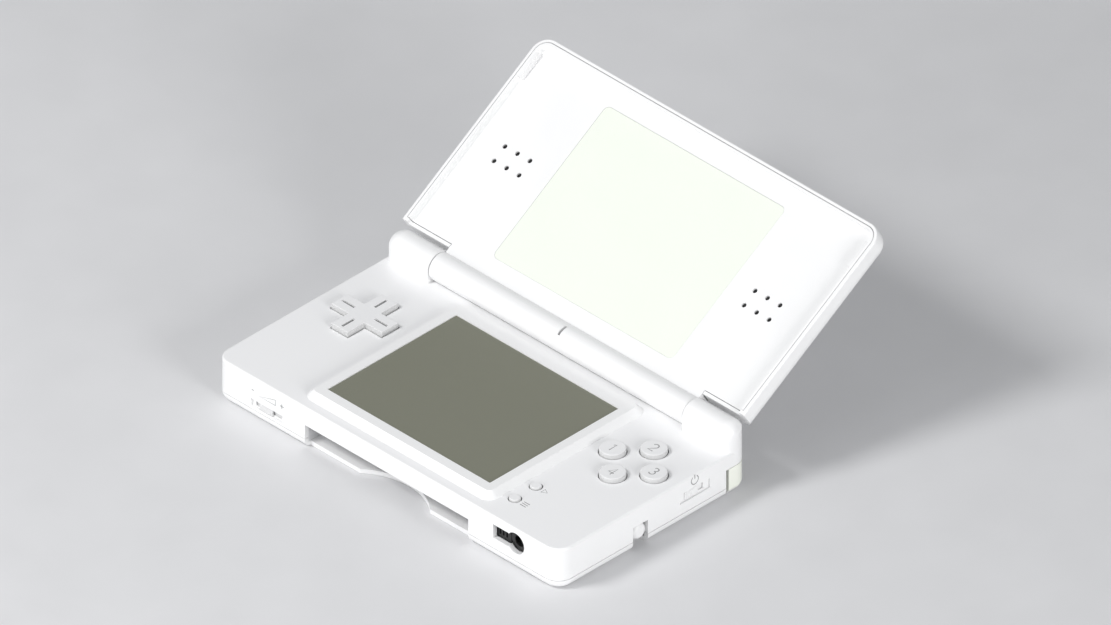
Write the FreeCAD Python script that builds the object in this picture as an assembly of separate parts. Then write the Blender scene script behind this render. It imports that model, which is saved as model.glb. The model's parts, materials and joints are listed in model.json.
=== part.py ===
import FreeCAD, Part
import math
import os

# Folding two-screen hand-held game, open for play.
# Millimetres. +X runs to the player's right, +Y to the hinge, +Z up.
# The origin is the centre of the base's footprint, on the surface it stands on.

V = FreeCAD.Vector
ORIGIN = V(0, 0, 0)
X_AXIS = V(1, 0, 0)

# ---------------------------------------------------------------- driving dimensions
WIDTH = 133.0            # across the base and the lid
DEPTH = 73.9             # base, front to rear
FLOOR_TOP = 1.4          # inner face of the lower case's floor; its outer face is at 0
SPLIT = 2.95             # parting line between the two halves of the base
DECK = 13.6              # height of the control deck
WALL = 1.5
DECK_UNDER = 12.2        # inner face of the deck
CASE_CORNER = 5.0
BOTTOM_ROUND = 2.5
TOP_ROUND = 0.7
SEAM = 0.1               # half of the gap along a parting line
FIT = 0.05               # gap between pieces that are assembled together
RUN = 0.3                # gap around a piece that moves

HINGE_Z = 17.6
POST_R = 4.45            # hinge posts, part of the base
BARREL_R = 4.2           # hinge barrel, part of the lid
POST_X = 49.2            # inner face of a post
POST_END_ROUND = 4.0
LID_TILT = 32.6          # lid plane above the horizontal, in degrees
TROUGH_R = 4.5

FRAME_TOP = 15.6         # raised surround of the touch screen
FRAME_X = 34.2
FRAME_Y = (-31.5, 26.2)
FRAME_SLOPE = 2.0
FRAME_CORNER = 3.5
TOUCH_X = 31.45
TOUCH_Y = (-28.45, 21.55)
TOUCH_TOP = 15.3
TOUCH_SEAT = 14.3

BOARD_Z = (8.4, 9.2)
KEY_UNDER = 9.75         # top of the squeezed key domes

DPAD_C = (-50.0, 4.6)
DPAD_REACH = 9.8
DPAD_ARM = 3.2           # half the width of an arm
DPAD_TOP = 15.2
DPAD_ROUND = 0.2
DPAD_PIVOT_Z = 10.25
DPAD_PIVOT_R = 1.0
DPAD_SKIRT = (10.0, (10.6, 11.3))
DPAD_HUB = (2.2, (10.0, 11.3))
DPAD_LINE = (3.9, 8.7, 0.4, 0.3)   # start, end, half width and depth of the grip lines

BUTTON_C = (50.7, 7.8)
BUTTON_STEP = 8.0
BUTTON_R = 3.8
BUTTON_TOP = 15.0
BUTTON_UNDER = (4.7, 2.5)  # radii of the flange and the stem
KEY_SKIRT_Z = 11.2         # underside of a key's flange
KEY_STEM_Z = 10.75
KEY_ROUND = 0.4
MENU_BUTTONS = ((39.6, -26.9), (39.6, -18.8))
MENU_R = 1.7
MENU_TOP = 14.2
MENU_UNDER = (2.4, 1.2)

BAY_X = 31.6             # cartridge bay in the front face
BAY_TOP = 7.7
BAY_REAR = -12.0
BAY_LIP_Y = -34.65       # front edge of the bay's floor
SCOOP_X = (-12.4, 14.6)  # finger scoop in that floor
SCOOP_DEPTH = 5.0

SHOULDER_X = 49.4
SHOULDER_Y = 28.9
SHOULDER_Z = (1.6, 8.8)
SHOULDER_CUT_Y = 27.9
SHOULDER_CUT_TOP = 9.0
SHOULDER_PIVOT = (51.2, 34.4)
SHOULDER_WALL = 1.5
SHOULDER_BOSS_R = 1.75
SHOULDER_PIN_R = 0.8
SHOULDER_PIN_TOP = 11.4
SHOULDER_RIB = ((58.4, 60.4), 31.2, 4.0)
SHOULDER_SWITCH = ((57.2, 61.6), (27.0, 30.2), (3.6, 7.2))

STYLUS_Y = -5.2
STYLUS_Z = 5.0
STYLUS_R = 1.85
STYLUS_TIP_R = 1.0
STYLUS_TAPER = (3.9, 8.9)      # where the tip starts and stops widening, from its end
STYLUS_HEAD_R = 2.6
STYLUS_ROUND = (0.7, 1.4)      # at the tip and at the head
STYLUS_X = (-22.0, 62.0, 66.4)
NOTCH_Y = (-8.1, -2.3)
NOTCH_TOP = 7.7
NOTCH_X = 62.0

LID_HALF = 66.05         # half the lid's width
LID_NEAR = 5.5           # distances from the hinge axis along the lid
LID_FAR = 70.0
RIM = 3.75               # height of the lid's rim above the hinge axis, inner side
PANEL = 1.65             # inner panel, same direction
PANEL_UNDER = 0.25
PANEL_ROUND = 1.0        # where the panel meets the rim
LID_BACK = -4.0          # outer face, same direction
LID_WALL = 1.0
LID_CORNER = 5.0
LID_BACK_ROUND = 4.2
LID_BACK_WALL = 1.2
RIM_ROUND = 0.35
LIP = 0.7                # inner shell's part of the rim
LID_SEAM = 0.2           # groove between the two shells, along the top of the rim
BARREL_X = 48.9
LID_GAP = 0.2            # clears the lid's two halves from one another at the hinge
TONGUE_THICK = 1.1       # part of the outer shell that reaches in to the barrel
TONGUE_START = 3.0
WEB_LOW = -2.6           # underside of the web between the panel and the barrel
LENS_X = (-35.6, 33.8)
LENS_A = (9.3, 62.1)
LENS_CORNER = 1.8
LENS_THICK = 0.8
LENS_LEDGE = 3.2
LENS_CHAMFER = 0.08
UPPER_LCD_X = (-33.6, 31.6)
UPPER_LCD_A = (11.5, 60.0)
UPPER_LCD_B = (-1.2, 0.2)
UPPER_FRAME_LOW = -2.4
SPEAKER_LEFT_X = -49.75
SPEAKER_RIGHT_X = 46.95
SPEAKER_A = 35.25
SPEAKER_PITCH = (4.83, 5.02)
SPEAKER_HOLE_R = 0.73
SPEAKER_R = 8.2
SPEAKER_CONE_R = 7.0
SPEAKER_B = (-2.3, -0.6)  # back face, and the cone behind its raised ring
STOP_X = (63.2, 65.0)
STOP_A = (56.2, 64.9)
MIC_ANGLE = 112.0
MIC_SLOT = (0.9, 3.5, 2.9)
MIC_R = 1.2
MIC_X = 2.0
HINGE_CAVITY_R = 3.05
CLUTCH_R = 3.0
CLUTCH_X = (37.0, 48.8)
SHAFT_R = 1.8            # steel hinge shaft, right
SLEEVE_R = 2.4           # hollow hinge sleeve, left
SLEEVE_BORE = 1.5
SHAFT_X = (40.0, 60.0)
SHAFT_CHAMFER = 0.3

POWER_Y = (10.0, 21.6)   # recess in the right wall
POWER_Z = (6.5, 9.8)
POWER_RECESS = 0.6
POWER_KNOB_Y = (12.1, 17.3)
POWER_RIDGE = ((12.6, 13.1), (7.1, 9.2), 1.05)
POWER_STEM_Y = (13.6, 15.6)
POWER_STEM_Z = (7.5, 8.8)
POWER_CATCH = ((64.1, 65.35), (9.7, 19.6), (6.9, 9.4))
POWER_POCKET_X = 65.5    # the catch slides in a pocket behind the recess
POWER_TRAVEL = 3.6
POWER_SWITCH = ((62.3, 63.9), (11.0, 21.0), (6.6, 10.0))
VOLUME_X = (-52.4, -39.7)   # recess in the front wall
VOLUME_Z = (4.0, 6.3)
VOLUME_RECESS = 0.7
VOLUME_KNOB_X = (-49.2, -44.3)
VOLUME_RIB = (0.32, 1.0, 1.45)
VOLUME_STEM_X = (-47.75, -45.75)
VOLUME_STEM_Z = (4.65, 5.65)
VOLUME_CATCH = ((-55.5, -38.1), (-35.8, -34.6), (4.0, 6.3))
VOLUME_POCKET_Y = -35.95
VOLUME_TRAVEL = (-3.0, 4.4)
VOLUME_SWITCH = ((-53.5, -38.6), (-34.4, -32.6), (3.4, 7.0))
KNOB_SETBACK = 0.15      # slider faces sit this far inside the wall's face
PROUD = 0.02             # grip ridges stop this far inside it
KNOB_ROUND = 0.3

JACK_X = 49.9
JACK_Z = 8.8
JACK_OPEN_R = 3.3
JACK_BORE_R = 1.8
JACK_BORE_END = -24.5
JACK_BARREL_END = -24.0
JACK_BODY = ((47.0, 53.3), (-33.0, -23.0), (6.4, 11.4))
SOCKET_SETBACK = 1.7     # sockets start this far behind the front face
PORT_X = (41.2, 47.2)
PORT_Z = (6.4, 10.9)
PORT_END = -31.0
PORT_PINS = 3
PORT_PIN = (0.5, 1.3, 0.8)   # width, pitch, distance from the side
PORT_PIN_Z = (7.4, 9.9)
CARD_X = (-43.7, -10.3)
CARD_Z = (3.3, 7.7)
CARD_FRONT = 9.0
READER_WALL = 0.6
CHARGE_X = (34.0, 42.0)
CHARGE_Z = (4.0, 7.6)
CHARGE_Y = (31.0, 33.0)  # back of the charging socket, and the bottom of its mouth
CHARGE_WALL = 0.5
CHARGE_SETBACK = (0.4, 1.2)   # of the shell and of its tongue, from the rear face
CHARGE_TONGUE = (1.5, (5.5, 6.2))
GUIDE_WALL = 1.2
GUIDE_STEP = (3.0, -28.8, 2.6)   # how far the inner rail reaches in, where it starts, its foot
CONNECTOR_Y = -8.6
CONNECTOR_GROOVE = (1.6, (3.6, 5.6))
SLEEVE_OUTER = 2.6
SLEEVE_PLATE = (0.8, 0.5)    # thickness, and how far it rises over the notch
SLEEVE_INNER = 1.98

BATTERY_X = (-6.0, 45.0)
BATTERY_Y = (-1.0, 25.0)
BATTERY_TOP = 7.6
BATTERY_ROUND = 1.2
COVER_X = (-8.0, 47.0)
COVER_Y = (-1.6, 29.6)
COVER_SCREW = (19.5, 27.3)
COVER_GRIP = (6.0, (1.2, 2.0), 0.6)   # half width, distance from the edge, depth
FOOT_PLACES = ((-56.0, -28.0), (56.0, -28.0), (-56.0, 22.0), (56.0, 22.0))
FOOT_R = 3.0
FOOT_SEAT = 0.8
FOOT_ROUND = 0.25
SCREW_PLACES = ((-60.0, -14.0), (36.0, -30.5), (-58.0, 14.0), (56.0, 14.0))
SCREW_HEAD_R = 1.7
SCREW_SHANK_R = 0.8
SCREW_HEAD_Z = (0.3, 1.0)
SCREW_TOP = 7.2
SCREW_CROSS = (1.1, 0.2, 0.4)   # half length, half width and depth of the cross

LCD_X = 32.0
LCD_Y = (-29.0, 22.1)
LCD_Z = (12.0, 13.4)
LCD_FRAME_WALL = 0.3
LCD_FRAME_LOW = 10.6
TOUCH_LEDGE = 1.25       # rest for the touch panel's edge
LCD_ROOM = 1.15          # room beside the display, and the roof over it
LCD_ROOF = 13.5
TROUGH_WEB_Z = 11.4
BOARD_Y = (-33.5, 30.0)
BOARD_MARGIN = 3.0
BOARD_GAP_X = 54.6       # right-hand limit of the gap around the sockets
BOARD_JACK_GAP = -20.5
BOARD_PORT_GAP = -30.6
BOARD_CORNER = (46.4, 26.5)
SHEET_THICK = 0.3        # rubber key sheets
DPAD_DOME = (6.6, 2.0)   # distance from the centre, radius
BUTTON_DOME_R = 2.4
MENU_DOME_R = 1.2
MENU_SHEET = ((37.4, 42.6), (-30.2, -16.6))

HALF_W = WIDTH / 2
HALF_D = DEPTH / 2
HINGE_Y = HALF_D - POST_R
INNER_X = HALF_W - WALL
INNER_Y = HALF_D - WALL
FAR = 200.0              # well past everything, for cutters


# ---------------------------------------------------------------- shape helpers
def box(x, y, z):
    """A box between pairs of limits."""
    return Part.makeBox(x[1] - x[0], y[1] - y[0], z[1] - z[0], V(x[0], y[0], z[0]))


def mid_box(half_x, y, z):
    """A box that is symmetrical about X = 0."""
    return box((-half_x, half_x), y, z)


def rod_x(radius, x, y, z):
    return Part.makeCylinder(radius, x[1] - x[0], V(x[0], y, z), X_AXIS)


def rod_y(radius, x, y, z):
    return Part.makeCylinder(radius, y[1] - y[0], V(x, y[0], z), V(0, 1, 0))


def rod_z(radius, x, y, z):
    return Part.makeCylinder(radius, z[1] - z[0], V(x, y, z[0]))


def edges_where(shape, test):
    """Edges whose vertices all satisfy test."""
    return [e for e in shape.Edges if e.Vertexes and all(test(v.Point) for v in e.Vertexes)]


def upright_edges(shape):
    """Straight edges that run along Z."""
    found = []
    for edge in shape.Edges:
        ends = [v.Point for v in edge.Vertexes]
        if len(ends) == 2 and math.hypot(ends[0].x - ends[1].x, ends[0].y - ends[1].y) < FIT:
            found.append(edge)
    return found


def edges_at(shape, height):
    """Edges that lie at one height."""
    return edges_where(shape, lambda p: abs(p.z - height) < FIT / 2)


def slab(x, y, z, corner):
    """A plate with rounded upright corners."""
    plate = box(x, y, z)
    return plate.makeFillet(corner, upright_edges(plate))


def mirror_x(shape):
    return shape.mirror(ORIGIN, X_AXIS)


def sided(shape, side):
    """The right-hand shape itself, or its mirror image for the left."""
    return shape if side > 0 else mirror_x(shape)


def fused(shapes):
    whole = shapes[0]
    for piece in shapes[1:]:
        whole = whole.fuse(piece)
    return whole.removeSplitter()


def cut_all(shape, cutters):
    for cutter in cutters:
        shape = shape.cut(cutter)
    return shape


def opened(shape):
    """Carry a lid piece from the flat position to the open one."""
    placed = shape.copy()
    placed.rotate(ORIGIN, X_AXIS, LID_TILT)
    placed.translate(V(0, HINGE_Y, HINGE_Z))
    return placed


def save(name, shape):
    if not shape.isValid() or len(shape.Solids) != 1:
        print("CHECK", name, "valid", shape.isValid(), "solids", len(shape.Solids))
    shape.exportStep("parts/" + name + ".step")


# ---------------------------------------------------------------- the base's two halves
def base_block(low, high):
    """The base's outer form between two heights, with its rounded bottom edge."""
    block = slab((-HALF_W, HALF_W), (-HALF_D, HALF_D), (0, DECK), CASE_CORNER)
    block = block.makeFillet(BOTTOM_ROUND, edges_at(block, 0))
    block = block.makeFillet(TOP_ROUND, edges_at(block, DECK))
    return block.common(mid_box(FAR, (-FAR, FAR), (low, high)))


def base_hollow(low, high):
    return slab((-INNER_X, INNER_X), (-INNER_Y, INNER_Y), (low, high), CASE_CORNER - WALL)


def hinge_post(side):
    """A post with a round top that holds one end of the hinge."""
    upright = box((POST_X, HALF_W), (HINGE_Y - POST_R, HINGE_Y + POST_R), (DECK_UNDER, HINGE_Z))
    post = fused([upright, rod_x(POST_R, (POST_X, HALF_W), HINGE_Y, HINGE_Z)])
    end_edges = edges_where(post, lambda p: p.x > HALF_W - FIT and p.z > DECK_UNDER + FIT)
    foot_edges = [
        e for e in upright_edges(post) if min(v.Point.x for v in e.Vertexes) > HALF_W - FIT
    ]
    round_edges = {e.hashCode(): e for e in end_edges + foot_edges}
    post = post.makeFillet(POST_END_ROUND, list(round_edges.values()))
    plan = slab((-HALF_W, HALF_W), (-HALF_D, HALF_D), (0, FAR), CASE_CORNER)
    return sided(post.common(plan), side)


def screen_surround():
    """The raised block around the touch screen, sloping down to the deck."""
    reach = FRAME_SLOPE
    block = slab(
        (-FRAME_X - reach, FRAME_X + reach),
        (FRAME_Y[0] - reach, FRAME_Y[1] + reach),
        (DECK_UNDER, FRAME_TOP),
        FRAME_CORNER,
    )
    return block.makeChamfer(FRAME_SLOPE - FIT, edges_at(block, FRAME_TOP))


def screen_openings():
    """The touch panel's seat, the window through it and the display's room below."""
    ledge = TOUCH_LEDGE
    room = LCD_ROOM
    room_y = (TOUCH_Y[0] - room, TOUCH_Y[1] + room)
    seat = mid_box(TOUCH_X, TOUCH_Y, (TOUCH_SEAT, FAR))
    window = mid_box(TOUCH_X - ledge, (TOUCH_Y[0] + ledge, TOUCH_Y[1] - ledge), (0, FAR))
    below = mid_box(TOUCH_X + room, room_y, (DECK_UNDER - 1, LCD_ROOF))
    return [seat, window, below]


def cross(reach, arm, z):
    """The plan of the direction pad, as a solid."""
    x, y = DPAD_C
    along = box((x - reach, x + reach), (y - arm, y + arm), z)
    across = box((x - arm, x + arm), (y - reach, y + reach), z)
    return fused([along, across])


def button_places():
    """Centres of the four round buttons: left, rear, right, front."""
    x, y = BUTTON_C
    step = BUTTON_STEP
    return [(x - step, y), (x, y + step), (x + step, y), (x, y - step)]


def deck_holes():
    hole_z = (DECK_UNDER - 1, FAR)
    holes = [cross(DPAD_REACH + RUN + FIT, DPAD_ARM + RUN + FIT, hole_z)]
    for x, y in button_places():
        holes.append(rod_z(BUTTON_R + RUN, x, y, hole_z))
    for x, y in MENU_BUTTONS:
        holes.append(rod_z(MENU_R + RUN, x, y, hole_z))
    return holes


def hinge_trough():
    """The hollow in the deck that the lid's barrel turns in."""
    round_cut = rod_x(TROUGH_R, (-POST_X, POST_X), HINGE_Y, HINGE_Z)
    behind = mid_box(POST_X, (HINGE_Y, FAR), (HINGE_Z - TROUGH_R, FAR))
    return [round_cut, behind]


def shoulder_cut(side):
    """The corner opening that a shoulder button fills."""
    cut = box((SHOULDER_X - RUN, FAR), (SHOULDER_CUT_Y, FAR), (FLOOR_TOP, SHOULDER_CUT_TOP))
    return sided(cut, side)


def stylus_notch():
    return box((NOTCH_X, FAR), NOTCH_Y, (-1, NOTCH_TOP))


def power_slot():
    """The power slider's recess, the slot for its stem and the pocket for its catch."""
    gap = RUN
    recess = box((HALF_W - POWER_RECESS, FAR), POWER_Y, POWER_Z)
    slot = box(
        (INNER_X - 1, FAR),
        (POWER_STEM_Y[0] - gap, POWER_STEM_Y[1] + POWER_TRAVEL + gap),
        (POWER_STEM_Z[0] - gap, POWER_STEM_Z[1] + gap),
    )
    catch_y, catch_z = POWER_CATCH[1:]
    room = box(
        (INNER_X - 1, POWER_POCKET_X),
        (catch_y[0] - gap, catch_y[1] + POWER_TRAVEL + gap),
        (catch_z[0] - gap, catch_z[1] + gap),
    )
    return [recess, slot, room]


def volume_slot():
    """The same three openings for the volume slider, in the front wall."""
    gap = RUN
    back, onward = VOLUME_TRAVEL
    recess = box(VOLUME_X, (-FAR, -HALF_D + VOLUME_RECESS), VOLUME_Z)
    slot = box(
        (VOLUME_STEM_X[0] + back - gap, VOLUME_STEM_X[1] + onward + gap),
        (-FAR, -INNER_Y + 1),
        (VOLUME_STEM_Z[0] - gap, VOLUME_STEM_Z[1] + gap),
    )
    catch_x, _, catch_z = VOLUME_CATCH
    room = box(
        (catch_x[0] + back - gap, catch_x[1] + onward + gap),
        (VOLUME_POCKET_Y, -INNER_Y + 1),
        (catch_z[0] - gap, catch_z[1] + gap),
    )
    return [recess, slot, room]


def socket_openings():
    """Openings in the walls for the headphone, accessory, card and charging sockets."""
    front = (-FAR, -INNER_Y + 1)
    rear = (INNER_Y - 1, FAR)
    return [
        rod_y(JACK_OPEN_R, JACK_X, front, JACK_Z),
        box(PORT_X, front, PORT_Z),
        mid_box(BAY_X, front, (0, BAY_TOP)),
        box(CARD_X, rear, CARD_Z),
        box(CHARGE_X, rear, CHARGE_Z),
    ]


def shaft_bores():
    """Blind bores in the posts for the hinge shaft and the sleeve."""
    right = rod_x(SHAFT_R, (POST_X - 1, SHAFT_X[1]), HINGE_Y, HINGE_Z)
    left = rod_x(SLEEVE_R, (-SHAFT_X[1], -POST_X + 1), HINGE_Y, HINGE_Z)
    return [right, left]


def trough_web():
    """Extra thickness under the trough, inside the case."""
    y = (HINGE_Y - TROUGH_R - 1, INNER_Y + FIT)
    return mid_box(INNER_X, y, (TROUGH_WEB_Z, DECK_UNDER + FIT))


def upper_case():
    case = base_block(SPLIT + SEAM, DECK)
    case = case.cut(base_hollow(-1, DECK_UNDER))
    case = fused([case, trough_web(), screen_surround(), hinge_post(1), hinge_post(-1)])
    case = cut_all(case, screen_openings() + deck_holes() + hinge_trough())
    case = cut_all(case, [shoulder_cut(1), shoulder_cut(-1), stylus_notch()])
    return cut_all(case, power_slot() + volume_slot() + socket_openings() + shaft_bores()).removeSplitter()


def finger_scoop():
    """A cutter for the curved finger scoop at the front of the bay's floor."""
    half = (SCOOP_X[1] - SCOOP_X[0]) / 2
    radius = (half ** 2 + SCOOP_DEPTH ** 2) / (2 * SCOOP_DEPTH)
    centre_y = BAY_LIP_Y + SCOOP_DEPTH - radius
    return rod_z(radius, SCOOP_X[0] + half, centre_y, (-1, SPLIT + 1))


def lower_case():
    case = base_block(0, SPLIT - SEAM)
    case = case.cut(base_hollow(FLOOR_TOP, FAR))
    bay_front = mid_box(BAY_X, (-FAR, BAY_LIP_Y), (-1, FAR))
    bay_wall = mid_box(BAY_X, (-FAR, -INNER_Y + 1), (FLOOR_TOP, FAR))
    cover_gap = box(COVER_X, COVER_Y, (-1, FAR))
    case = cut_all(case, [bay_front, bay_wall, finger_scoop(), cover_gap, stylus_notch()])
    case = cut_all(case, [shoulder_cut(1), shoulder_cut(-1)])
    for x, y in FOOT_PLACES:
        case = case.cut(rod_z(FOOT_R, x, y, (0, FOOT_SEAT)))
    for x, y in SCREW_PLACES:
        case = case.cut(rod_z(SCREW_HEAD_R + SEAM, x, y, (0, SCREW_HEAD_Z[1])))
        case = case.cut(rod_z(SCREW_SHANK_R, x, y, (0, FLOOR_TOP)))
    return case.removeSplitter()


def battery_cover():
    x = (COVER_X[0] + SEAM, COVER_X[1] - SEAM)
    y = (COVER_Y[0] + SEAM, COVER_Y[1] - SEAM)
    plate = slab(x, y, (0, FLOOR_TOP), 1.0)
    plate = plate.makeChamfer(SEAM * 2, edges_at(plate, 0))
    half, edge, deep = COVER_GRIP
    grip_y = (COVER_Y[0] + edge[0], COVER_Y[0] + edge[1])
    grip = box((COVER_SCREW[0] - half, COVER_SCREW[0] + half), grip_y, (0, deep))
    return cut_all(plate, [
        grip,
        rod_z(SCREW_HEAD_R + SEAM, *COVER_SCREW, (0, SCREW_HEAD_Z[1] - SEAM)),
        rod_z(SCREW_SHANK_R, *COVER_SCREW, (0, FLOOR_TOP)),
    ])


def screw(x, y, head_top):
    """A small cross-head screw, head down."""
    head_z = (SCREW_HEAD_Z[0], head_top)
    head = rod_z(SCREW_HEAD_R, x, y, head_z)
    whole = fused([head, rod_z(SCREW_SHANK_R, x, y, (head_top, SCREW_TOP))])
    long, thin, deep = SCREW_CROSS
    slot = (-1, SCREW_HEAD_Z[0] + deep)
    return cut_all(whole, [
        box((x - long, x + long), (y - thin, y + thin), slot),
        box((x - thin, x + thin), (y - long, y + long), slot),
    ])


def rubber_foot(x, y):
    foot = rod_z(FOOT_R, x, y, (0, FOOT_SEAT))
    return foot.makeFillet(FOOT_ROUND, edges_at(foot, 0))


# ---------------------------------------------------------------- inside the base
def touch_panel():
    gap = FIT
    panel = mid_box(TOUCH_X - gap, (TOUCH_Y[0] + gap, TOUCH_Y[1] - gap), (TOUCH_SEAT, TOUCH_TOP))
    return panel.makeChamfer(SEAM, edges_at(panel, TOUCH_TOP))


def lower_lcd():
    return mid_box(LCD_X, LCD_Y, LCD_Z)


def lower_lcd_frame():
    wall = LCD_FRAME_WALL
    y = (LCD_Y[0] - wall, LCD_Y[1] + wall)
    tray = mid_box(LCD_X + wall, y, (LCD_FRAME_LOW, LCD_Z[1]))
    return tray.cut(mid_box(LCD_X, LCD_Y, (LCD_Z[0], FAR)))


def main_board():
    board = mid_box(INNER_X - BOARD_MARGIN, BOARD_Y, BOARD_Z)
    corner = box((BOARD_CORNER[0], FAR), (BOARD_CORNER[1], FAR), (0, FAR))
    corners = [sided(corner, side) for side in (1, -1)]
    jack_x = (JACK_X - JACK_OPEN_R - 1, BOARD_GAP_X)
    jack_gap = box(jack_x, (-FAR, BOARD_JACK_GAP), (0, FAR))
    port_gap = box((PORT_X[0] - 1, BOARD_GAP_X), (-FAR, BOARD_PORT_GAP), (0, FAR))
    return cut_all(board, corners + [jack_gap, port_gap]).removeSplitter()


def battery_pack():
    pack = box(BATTERY_X, BATTERY_Y, (FLOOR_TOP + FIT, BATTERY_TOP))
    along = [e for e in pack.Edges if abs(e.Vertexes[0].Point.x - e.Vertexes[1].Point.x) > 1]
    return pack.makeFillet(BATTERY_ROUND, along)


def game_card_reader():
    """The rear socket: a case that is open to the rear, with its contact block."""
    wall = READER_WALL
    x = (CARD_X[0] - wall, CARD_X[1] + wall)
    z = (CARD_Z[0] - wall, CARD_Z[1] + wall)
    case = box(x, (CARD_FRONT - wall, INNER_Y), z)
    return case.cut(box(CARD_X, (CARD_FRONT, FAR), CARD_Z))


def cartridge_guide():
    """The bay's roof, its side walls, and the rails that narrow it further in."""
    y = (-INNER_Y + FIT, BAY_REAR)
    outer = BAY_X + FIT + GUIDE_WALL
    roof = mid_box(outer, y, (BAY_TOP + FIT, BOARD_Z[0] - FIT))
    wall = box((BAY_X + FIT, outer), y, (FLOOR_TOP, BAY_TOP + 2 * FIT))
    reach, start, foot = GUIDE_STEP
    rail = box((BAY_X - reach, BAY_X + 2 * FIT), (start, BAY_REAR), (foot, BAY_TOP + 2 * FIT))
    return fused([roof, wall, mirror_x(wall), rail, mirror_x(rail)])


def cartridge_connector():
    """The contact block at the back of the bay, with a groove for the cartridge's edge."""
    deep, groove_z = CONNECTOR_GROOVE
    half = BAY_X - GUIDE_STEP[0]
    block = mid_box(half, (BAY_REAR + FIT, CONNECTOR_Y), (FLOOR_TOP, BOARD_Z[0] - FIT))
    return block.cut(mid_box(half - 2, (-FAR, BAY_REAR + deep), groove_z))


def headphone_jack():
    """A round socket body with its bore, set back from the front face."""
    front = -HALF_D + SOCKET_SETBACK
    barrel = rod_y(JACK_OPEN_R - SEAM, JACK_X, (front, JACK_BARREL_END), JACK_Z)
    bore = rod_y(JACK_BORE_R, JACK_X, (-FAR, JACK_BORE_END), JACK_Z)
    return fused([barrel, box(*JACK_BODY)]).cut(bore)


def accessory_port():
    """The contact block beside the headphone socket."""
    front = -HALF_D + SOCKET_SETBACK
    x = (PORT_X[0] + SEAM, JACK_X - JACK_OPEN_R)
    block = box(x, (front, PORT_END), (PORT_Z[0] + SEAM, PORT_Z[1] - SEAM))
    wide, pitch, edge = PORT_PIN
    first = box((x[0] + edge, x[0] + edge + wide), (-FAR, front + wide), PORT_PIN_Z)
    return cut_all(block, [first.translated(V(i * pitch, 0, 0)) for i in range(PORT_PINS)])


def charge_socket():
    """The charging socket: a shell with a flat tongue in its mouth."""
    x = (CHARGE_X[0] + FIT, CHARGE_X[1] - FIT)
    z = (CHARGE_Z[0] + FIT, CHARGE_Z[1] - FIT)
    wall = CHARGE_WALL
    edge, tongue_z = CHARGE_TONGUE
    shell_back, tongue_back = CHARGE_SETBACK
    body = box(x, (CHARGE_Y[0], HALF_D - shell_back), z)
    mouth = box((x[0] + wall, x[1] - wall), (CHARGE_Y[1], FAR), (z[0] + wall, z[1] - wall))
    tongue_y = (CHARGE_Y[1] - SEAM, HALF_D - tongue_back)
    tongue = box((x[0] + edge, x[1] - edge), tongue_y, tongue_z)
    return fused([body.cut(mouth), tongue])


def power_switch():
    """The switch behind the power slider."""
    return box(*POWER_SWITCH)


def volume_switch():
    """The track behind the volume slider."""
    return box(*VOLUME_SWITCH)


def key_sheet(x, y, domes):
    """A rubber sheet on the board with one raised pad under each key."""
    sheet_top = BOARD_Z[1] + SHEET_THICK
    sheet = slab(x, y, (BOARD_Z[1], sheet_top), 1.0)
    pads = [rod_z(r, px, py, (sheet_top - FIT, KEY_UNDER)) for px, py, r in domes]
    return fused([sheet] + pads)


def dpad_membrane():
    x, y = DPAD_C
    reach = DPAD_REACH + 0.5
    off, r = DPAD_DOME
    domes = [(x - off, y, r), (x + off, y, r), (x, y - off, r), (x, y + off, r)]
    sheet = key_sheet((x - reach, x + reach), (y - reach, y + reach), domes)
    return sheet.cut(rod_z(DPAD_HUB[0] + RUN, x, y, (0, FAR)))


def button_membrane():
    x, y = BUTTON_C
    reach = BUTTON_STEP + BUTTON_DOME_R
    domes = [(px, py, BUTTON_DOME_R) for px, py in button_places()]
    return key_sheet((x - reach, x + reach), (y - reach, y + reach), domes)


def menu_membrane():
    domes = [(x, y, MENU_DOME_R) for x, y in MENU_BUTTONS]
    return key_sheet(*MENU_SHEET, domes)


def stylus_sleeve():
    """The tube that the stylus slides in, with a plate that closes the notch behind."""
    end = NOTCH_X - SEAM
    start = STYLUS_X[0] - RUN
    tube = rod_x(SLEEVE_OUTER, (start - 1, end), STYLUS_Y, STYLUS_Z)
    plate_y = (NOTCH_Y[0] - 1, NOTCH_Y[1] + 1)
    thick, over = SLEEVE_PLATE
    plate = box((end - thick, end), plate_y, (FLOOR_TOP, NOTCH_TOP + over))
    return fused([tube, plate]).cut(rod_x(SLEEVE_INNER, (start, FAR), STYLUS_Y, STYLUS_Z))


def shoulder_switch(side):
    return sided(box(*SHOULDER_SWITCH), side)


def shoulder_pin(side):
    pin = rod_z(SHOULDER_PIN_R, *SHOULDER_PIVOT, (FLOOR_TOP, SHOULDER_PIN_TOP))
    return sided(pin, side)


def hinge_shaft():
    """The steel shaft fixed in the right post, reaching into the lid's barrel."""
    shaft = rod_x(SHAFT_R, SHAFT_X, HINGE_Y, HINGE_Z)
    return shaft.makeChamfer(SHAFT_CHAMFER, edges_where(shaft, lambda p: p.x < SHAFT_X[0] + FIT))


def hinge_sleeve():
    """The hollow sleeve in the left post that the lid's wiring passes through."""
    x = (-SHAFT_X[1], -SHAFT_X[0])
    return rod_x(SLEEVE_R, x, HINGE_Y, HINGE_Z).cut(rod_x(SLEEVE_BORE, x, HINGE_Y, HINGE_Z))


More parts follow.
